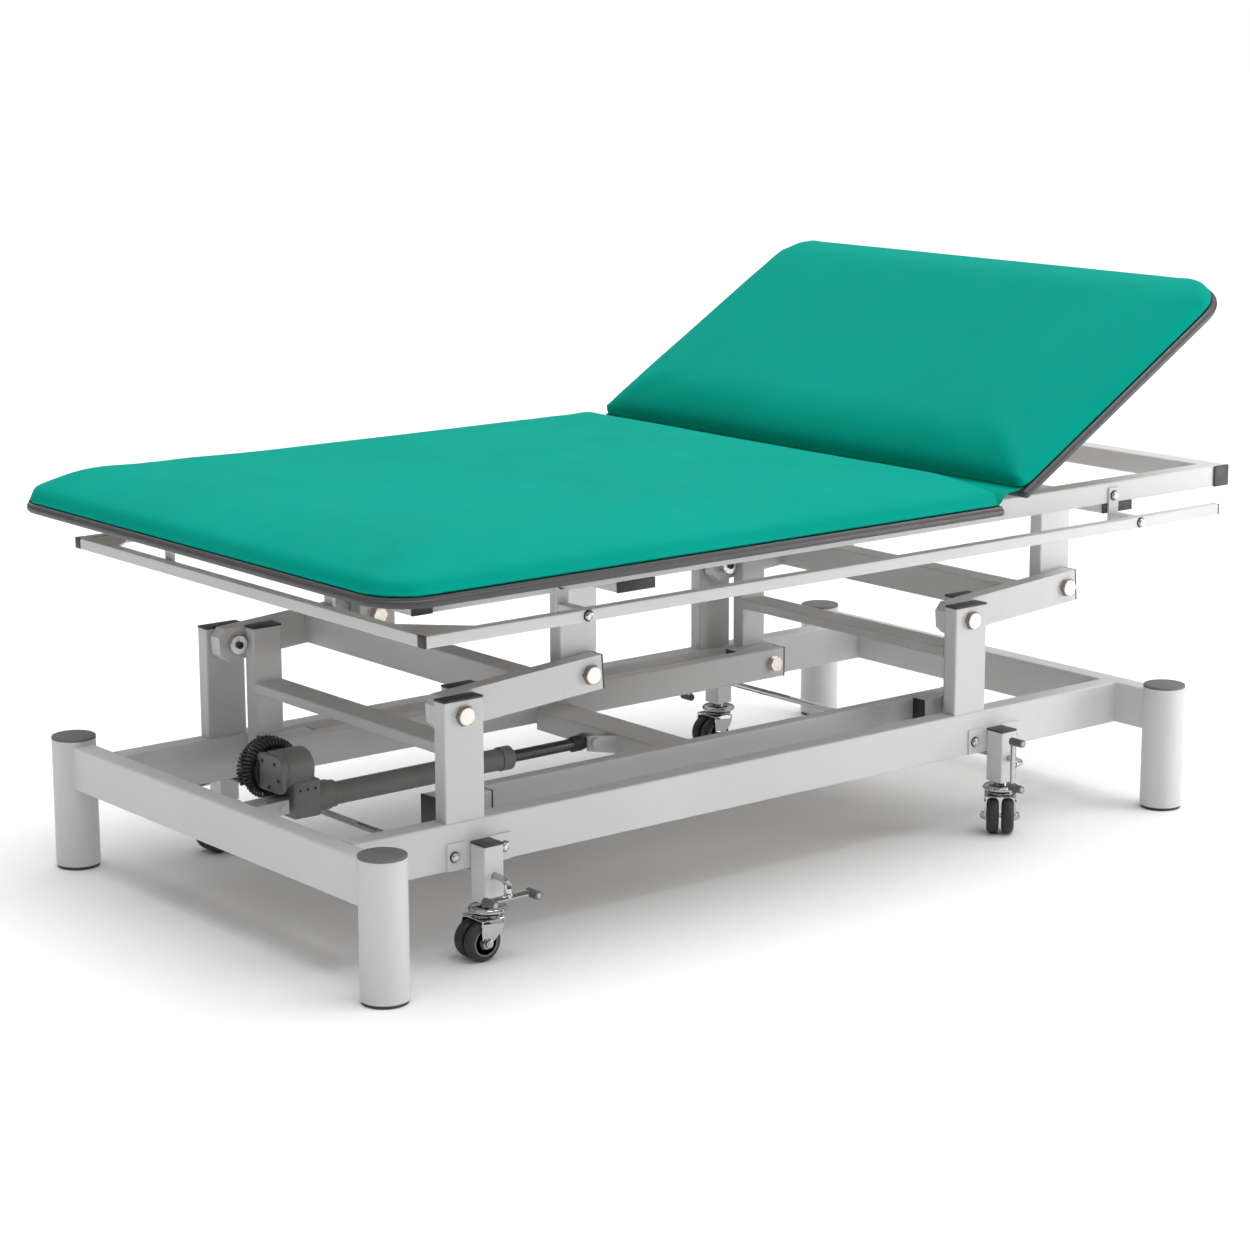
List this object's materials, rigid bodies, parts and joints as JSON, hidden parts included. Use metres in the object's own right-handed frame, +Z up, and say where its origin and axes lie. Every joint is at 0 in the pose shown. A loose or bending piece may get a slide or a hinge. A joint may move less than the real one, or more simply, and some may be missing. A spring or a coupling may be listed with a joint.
{
  "type": "bobath table",
  "caption": "Wide physiotherapy couch on a swing-arm lifting frame with an electric actuator, hinged raised head section, accessory rails and pedal-lifted castors.",
  "frame": {"origin": "on the floor, under the middle of the outline at rest", "axes": "+X to the head end, +Y to the far side, +Z up; the near side is -Y"},
  "size_m": [2.052, 1.2, 1.0485],
  "materials": {
    "frame_paint": "satin light silver grey powder coat",
    "grey_plastic": "fine matt",
    "black_plastic": "matt moulded",
    "foot_rubber": "matt rubber",
    "bolt_zinc": "zinc plated",
    "board_wood": "plywood, sealed",
    "edge_band": "smooth moulded band",
    "green_vinyl": "smooth upholstery vinyl",
    "chrome_steel": "bright chrome",
    "stay_black": "black gas spring enamel",
    "wheel_rubber": "dark tyre with a grey hub"
  },
  "bodies": {
    "base": {"base_side_rails": "frame_paint", "base_end_rails": "frame_paint", "legs": "frame_paint", "leg_caps": "grey_plastic", "foot_pads": "foot_rubber", "base_posts": "frame_paint", "base_caps": "black_plastic", "base_bolts": "bolt_zinc", "actuator_bracket": "frame_paint", "castor_sockets": "frame_paint"},
    "foot_swing": {"foot_arms": "frame_paint", "foot_levers": "frame_paint", "foot_cross_tubes": "frame_paint", "foot_swing_caps": "black_plastic"},
    "head_swing": {"head_arms": "frame_paint", "head_levers": "frame_paint", "head_cross_tubes": "frame_paint", "head_swing_caps": "black_plastic"},
    "upper_frame": {"upper_side_rails": "frame_paint", "upper_cross_rails": "frame_paint", "hanger_cross_tubes": "frame_paint", "hanging_posts": "frame_paint", "accessory_side_rails": "frame_paint", "accessory_foot_rail": "frame_paint", "accessory_straps": "frame_paint", "upper_caps": "black_plastic", "upper_bolts": "bolt_zinc", "foot_board": "board_wood", "foot_edge_trim": "edge_band", "foot_cushion": "green_vinyl", "hinge_brackets": "frame_paint"},
    "head_section": {"head_board": "board_wood", "head_edge_trim": "edge_band", "head_cushion": "green_vinyl", "head_hinge_straps": "frame_paint"},
    "stay_cylinder": {"stay_cylinder": "stay_black"},
    "stay_rod": {"stay_rod": "chrome_steel"},
    "push_frame": {"push_side_tubes": "frame_paint", "push_spacers": "frame_paint", "push_cross_tube": "frame_paint", "push_caps": "black_plastic", "lever_pivot_bolts": "bolt_zinc"},
    "actuator": {"actuator_gearbox": "grey_plastic", "actuator_motor": "grey_plastic", "actuator_tube": "grey_plastic", "motor_cable": "foot_rubber"},
    "actuator_rod": {"actuator_rod": "chrome_steel"},
    "foot_castors": {"foot_castor_stems": "chrome_steel"},
    "head_castors": {"head_castor_stems": "chrome_steel"},
    "foot_pedal": {"foot_pedal": "chrome_steel"},
    "head_pedal": {"head_pedal": "chrome_steel"},
    "fork_foot_near": {"castor_fork_foot_near": "chrome_steel"},
    "wheel_foot_near": {"castor_wheel_foot_near": "wheel_rubber"},
    "fork_foot_far": {"castor_fork_foot_far": "chrome_steel"},
    "wheel_foot_far": {"castor_wheel_foot_far": "wheel_rubber"},
    "fork_head_near": {"castor_fork_head_near": "chrome_steel"},
    "wheel_head_near": {"castor_wheel_head_near": "wheel_rubber"},
    "fork_head_far": {"castor_fork_head_far": "chrome_steel"},
    "wheel_head_far": {"castor_wheel_head_far": "wheel_rubber"}
  },
  "joints": [
    {"name": "height_swing", "type": "hinge", "parent": "base", "child": "foot_swing", "pos_m": [-0.736, 0, 0.408], "axis": [0, -1, 0], "range_deg": [-30, 42]},
    {"name": "head_swing_pivot", "type": "hinge", "parent": "base", "child": "head_swing", "pos_m": [0.428, 0, 0.408], "axis": [0, -1, 0], "range_deg": [-30, 42]},
    {"name": "upper_frame_pivot", "type": "hinge", "parent": "foot_swing", "child": "upper_frame", "pos_m": [-0.4477, 0, 0.42816], "axis": [0, -1, 0], "range_deg": [-42, 30]},
    {"name": "push_frame_pivot", "type": "hinge", "parent": "foot_swing", "child": "push_frame", "pos_m": [-0.686, 0, 0.211], "axis": [0, -1, 0], "range_deg": [-42, 30]},
    {"name": "head_section_hinge", "type": "hinge", "parent": "upper_frame", "child": "head_section", "pos_m": [0.2965, 0, 0.677], "axis": [0, -1, 0], "range_deg": [-31, 39]},
    {"name": "stay_pivot", "type": "hinge", "parent": "upper_frame", "child": "stay_cylinder", "pos_m": [0.3465, 0, 0.625], "axis": [0, -1, 0], "range_deg": [-31.68, 39.86]},
    {"name": "stay_stroke", "type": "slide", "parent": "stay_cylinder", "child": "stay_rod", "axis": [0.8319, 0, 0.555], "range_m": [-0.03658, 0.04601]},
    {"name": "actuator_pivot", "type": "hinge", "parent": "base", "child": "actuator", "pos_m": [-0.86, 0, 0.197], "axis": [0, -1, 0], "range_deg": [-2.79, 3.91]},
    {"name": "actuator_stroke", "type": "slide", "parent": "actuator", "child": "actuator_rod", "axis": [1, 0, 0.0044], "range_m": [-0.0954, 0.13356]},
    {"name": "foot_pedal_shaft", "type": "hinge", "parent": "base", "child": "foot_pedal", "pos_m": [-0.713, 0, 0.143], "axis": [0, 1, 0], "range_deg": [0, 90]},
    {"name": "foot_castor_drop", "type": "slide", "parent": "base", "child": "foot_castors", "axis": [0, 0, -1], "range_m": [0, 0.025]},
    {"name": "swivel_foot_near", "type": "hinge", "parent": "foot_castors", "child": "fork_foot_near", "pos_m": [-0.713, -0.409, 0.07], "axis": [0, 0, 1], "continuous": true},
    {"name": "roll_foot_near", "type": "hinge", "parent": "fork_foot_near", "child": "wheel_foot_near", "pos_m": [-0.735, -0.409, 0.0338], "axis": [0, -1, 0], "continuous": true},
    {"name": "swivel_foot_far", "type": "hinge", "parent": "foot_castors", "child": "fork_foot_far", "pos_m": [-0.713, 0.409, 0.07], "axis": [0, 0, 1], "continuous": true},
    {"name": "roll_foot_far", "type": "hinge", "parent": "fork_foot_far", "child": "wheel_foot_far", "pos_m": [-0.735, 0.409, 0.0338], "axis": [0, -1, 0], "continuous": true},
    {"name": "head_pedal_shaft", "type": "hinge", "parent": "base", "child": "head_pedal", "pos_m": [0.487, 0, 0.143], "axis": [0, -1, 0], "range_deg": [0, 90]},
    {"name": "head_castor_drop", "type": "slide", "parent": "base", "child": "head_castors", "axis": [0, 0, -1], "range_m": [0, 0.025]},
    {"name": "swivel_head_near", "type": "hinge", "parent": "head_castors", "child": "fork_head_near", "pos_m": [0.487, -0.409, 0.07], "axis": [0, 0, 1], "continuous": true},
    {"name": "roll_head_near", "type": "hinge", "parent": "fork_head_near", "child": "wheel_head_near", "pos_m": [0.47144, -0.42456, 0.0338], "axis": [0.7071, -0.7071, 0], "continuous": true},
    {"name": "swivel_head_far", "type": "hinge", "parent": "head_castors", "child": "fork_head_far", "pos_m": [0.487, 0.409, 0.07], "axis": [0, 0, 1], "continuous": true},
    {"name": "roll_head_far", "type": "hinge", "parent": "fork_head_far", "child": "wheel_head_far", "pos_m": [0.465, 0.409, 0.0338], "axis": [0, -1, 0], "continuous": true}
  ],
  "couplings": [
    {"joint": "head_swing_pivot", "follows": "height_swing", "ratio": 1},
    {"joint": "upper_frame_pivot", "follows": "height_swing", "ratio": -1},
    {"joint": "push_frame_pivot", "follows": "height_swing", "ratio": -1},
    {"joint": "actuator_pivot", "follows": "height_swing", "ratio": 0.0931},
    {"joint": "actuator_stroke", "follows": "height_swing", "m_per_rad": 0.1822},
    {"joint": "stay_pivot", "follows": "head_section_hinge", "ratio": 1.022},
    {"joint": "stay_stroke", "follows": "head_section_hinge", "m_per_rad": 0.0676},
    {"joint": "foot_castor_drop", "follows": "foot_pedal_shaft", "m_per_rad": 0.015915},
    {"joint": "head_castor_drop", "follows": "head_pedal_shaft", "m_per_rad": 0.015915}
  ]
}
